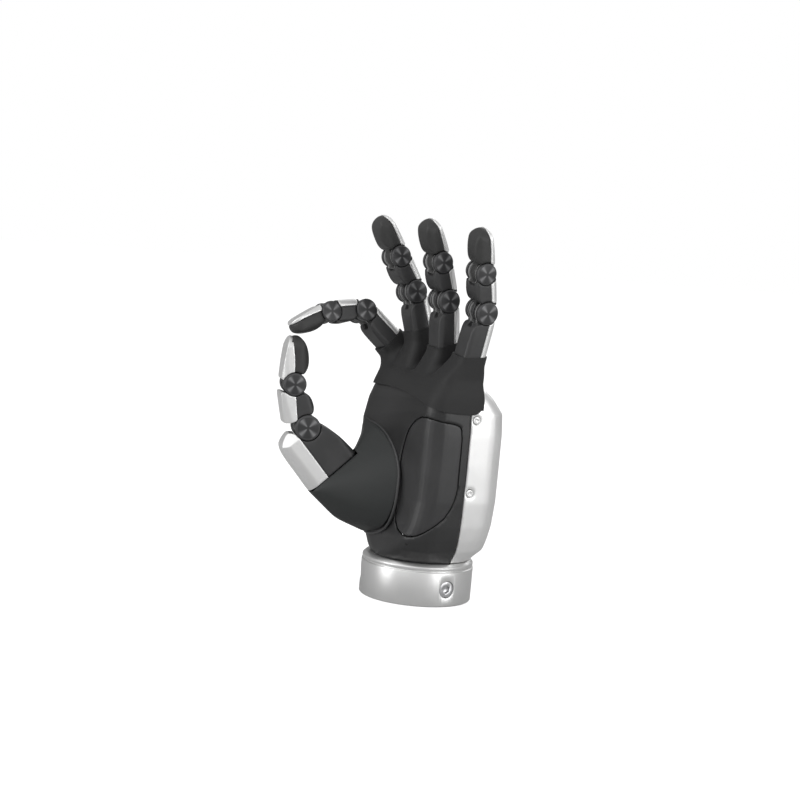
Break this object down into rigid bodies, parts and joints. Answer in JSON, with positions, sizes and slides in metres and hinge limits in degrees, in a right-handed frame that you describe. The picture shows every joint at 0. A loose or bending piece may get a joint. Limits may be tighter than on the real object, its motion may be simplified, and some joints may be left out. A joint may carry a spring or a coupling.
{
  "type": "dexterous robot hand",
  "caption": "Left robot hand with jointed fingers and a turning thumb in a pinch pose, rubber-skinned palm, metal back shell and a round wrist flange.",
  "frame": {"origin": "centre of the wrist flange's lower face, on the wrist axis", "axes": "+Z from the wrist to the fingers, -Y out of the palm, thumb on the -X side"},
  "size_m": [0.0914, 0.1136, 0.2154],
  "materials": {
    "satin_aluminium": "satin, fine bead-blasted",
    "dark_plastic": "fine matte moulded",
    "turned_discs": "turned face with light sectors",
    "black_rubber": "soft matte silicone",
    "steel": "turned",
    "circuit_board": "solder resist"
  },
  "bodies": {
    "base": {"wrist_flange": "satin_aluminium", "clamp_screws": "steel", "wrist_connector": "steel", "palm_chassis": "dark_plastic", "palm_cover": "dark_plastic", "palm_pad": "black_rubber", "back_shell": "satin_aluminium", "shell_screws": "steel", "knuckle_skin": "black_rubber", "thumb_skin": "black_rubber", "knuckle_pins": "steel", "finger_motors": "steel", "control_board": "circuit_board", "thumb_motor": "steel"},
    "index_proximal_body": {"index_proximal": "dark_plastic", "index_proximal_back": "satin_aluminium", "index_pip_axle": "turned_discs"},
    "index_middle_body": {"index_middle": "dark_plastic", "index_middle_back": "satin_aluminium", "index_dip_axle": "turned_discs"},
    "index_distal_body": {"index_distal": "black_rubber", "index_distal_back": "satin_aluminium"},
    "middle_proximal_body": {"middle_proximal": "dark_plastic", "middle_proximal_back": "satin_aluminium", "middle_pip_axle": "turned_discs"},
    "middle_middle_body": {"middle_middle": "dark_plastic", "middle_middle_back": "satin_aluminium", "middle_dip_axle": "turned_discs"},
    "middle_distal_body": {"middle_distal": "black_rubber", "middle_distal_back": "satin_aluminium"},
    "ring_proximal_body": {"ring_proximal": "dark_plastic", "ring_proximal_back": "satin_aluminium", "ring_pip_axle": "turned_discs"},
    "ring_middle_body": {"ring_middle": "dark_plastic", "ring_middle_back": "satin_aluminium", "ring_dip_axle": "turned_discs"},
    "ring_distal_body": {"ring_distal": "black_rubber", "ring_distal_back": "satin_aluminium"},
    "little_proximal_body": {"little_proximal": "dark_plastic", "little_proximal_back": "satin_aluminium", "little_pip_axle": "turned_discs"},
    "little_middle_body": {"little_middle": "dark_plastic", "little_middle_back": "satin_aluminium", "little_dip_axle": "turned_discs"},
    "little_distal_body": {"little_distal": "black_rubber", "little_distal_back": "satin_aluminium"},
    "thumb_hub_body": {"thumb_hub": "dark_plastic", "thumb_root_axle": "steel"},
    "thumb_metacarpal_body": {"thumb_metacarpal": "dark_plastic", "thumb_metacarpal_back": "satin_aluminium", "thumb_mcp_axle": "turned_discs"},
    "thumb_proximal_body": {"thumb_proximal": "dark_plastic", "thumb_proximal_back": "satin_aluminium", "thumb_ip_axle": "turned_discs"},
    "thumb_distal_body": {"thumb_distal": "black_rubber", "thumb_distal_back": "satin_aluminium"}
  },
  "joints": [
    {"name": "index_mcp", "type": "hinge", "parent": "base", "child": "index_proximal_body", "pos_m": [-0.029, 0, 0.129], "axis": [0.9781, 0, 0.2079], "range_deg": [-52, 0], "deforming": ["knuckle_skin"]},
    {"name": "index_pip", "type": "hinge", "parent": "index_proximal_body", "child": "index_middle_body", "pos_m": [-0.03524, -0.03218, 0.15835], "axis": [0.9781, 0, 0.2079], "range_deg": [-52.5, 0.5]},
    {"name": "index_dip", "type": "hinge", "parent": "index_middle_body", "child": "index_distal_body", "pos_m": [-0.03484, -0.0541, 0.15648], "axis": [0.9781, 0, 0.2079], "range_deg": [-18.7, 0.5]},
    {"name": "middle_mcp", "type": "hinge", "parent": "base", "child": "middle_proximal_body", "pos_m": [-0.0113, 0, 0.1303], "axis": [0.9945, 0, 0.1045], "range_deg": [-15, 60], "deforming": ["knuckle_skin"]},
    {"name": "middle_pip", "type": "hinge", "parent": "middle_proximal_body", "child": "middle_middle_body", "pos_m": [-0.01574, -0.01139, 0.17257], "axis": [0.9945, 0, 0.1045], "range_deg": [-15.5, 60.5]},
    {"name": "middle_dip", "type": "hinge", "parent": "middle_middle_body", "child": "middle_distal_body", "pos_m": [-0.01775, -0.02205, 0.1917], "axis": [0.9945, 0, 0.1045], "range_deg": [-5.75, 21.5]},
    {"name": "ring_mcp", "type": "hinge", "parent": "base", "child": "ring_proximal_body", "pos_m": [0.01, 0, 0.1268], "axis": [0.9998, 0, -0.0175], "range_deg": [-10, 72], "deforming": ["knuckle_skin"]},
    {"name": "ring_pip", "type": "hinge", "parent": "ring_proximal_body", "child": "ring_middle_body", "pos_m": [0.01076, -0.0046, 0.17055], "axis": [0.9998, 0, -0.0175], "range_deg": [-10.5, 72.5]},
    {"name": "ring_dip", "type": "hinge", "parent": "ring_middle_body", "child": "ring_distal_body", "pos_m": [0.01113, -0.01085, 0.19164], "axis": [0.9998, 0, -0.0175], "range_deg": [-4, 25.7]},
    {"name": "little_mcp", "type": "hinge", "parent": "base", "child": "little_proximal_body", "pos_m": [0.0303, 0, 0.124], "axis": [0.9925, 0, -0.1219], "range_deg": [-2, 84], "deforming": ["knuckle_skin"]},
    {"name": "little_pip", "type": "hinge", "parent": "little_proximal_body", "child": "little_middle_body", "pos_m": [0.03562, 0.00574, 0.1673], "axis": [0.9925, 0, -0.1219], "range_deg": [-2.5, 84.5]},
    {"name": "little_dip", "type": "hinge", "parent": "little_middle_body", "child": "little_distal_body", "pos_m": [0.03825, 0.00154, 0.18873], "axis": [0.9925, 0, -0.1219], "range_deg": [-1.2, 29.9]},
    {"name": "thumb_rotation", "type": "hinge", "parent": "base", "child": "thumb_hub_body", "pos_m": [-0.0185, -0.0158, 0], "axis": [0, 0, 1], "range_deg": [-76, 10], "deforming": ["thumb_skin"]},
    {"name": "thumb_flex", "type": "hinge", "parent": "thumb_hub_body", "child": "thumb_metacarpal_body", "pos_m": [-0.0231, -0.03424, 0.057], "axis": [-0.9703, 0.2419, 0], "range_deg": [-35, 0], "deforming": ["thumb_skin"]},
    {"name": "thumb_mcp", "type": "hinge", "parent": "thumb_metacarpal_body", "child": "thumb_proximal_body", "pos_m": [-0.0304, -0.06352, 0.09172], "axis": [-0.9703, 0.2419, 0], "range_deg": [-18, 0.5]},
    {"name": "thumb_ip", "type": "hinge", "parent": "thumb_proximal_body", "child": "thumb_distal_body", "pos_m": [-0.03263, -0.07249, 0.1158], "axis": [-0.9703, 0.2419, 0], "range_deg": [-14.5, 0.5]}
  ],
  "couplings": [
    {"joint": "index_pip", "follows": "index_mcp", "ratio": 1},
    {"joint": "index_dip", "follows": "index_mcp", "ratio": 0.35},
    {"joint": "middle_pip", "follows": "middle_mcp", "ratio": 1},
    {"joint": "middle_dip", "follows": "middle_mcp", "ratio": 0.35},
    {"joint": "ring_pip", "follows": "ring_mcp", "ratio": 1},
    {"joint": "ring_dip", "follows": "ring_mcp", "ratio": 0.35},
    {"joint": "little_pip", "follows": "little_mcp", "ratio": 1},
    {"joint": "little_dip", "follows": "little_mcp", "ratio": 0.35},
    {"joint": "thumb_mcp", "follows": "thumb_flex", "ratio": 0.5},
    {"joint": "thumb_ip", "follows": "thumb_flex", "ratio": 0.4}
  ]
}
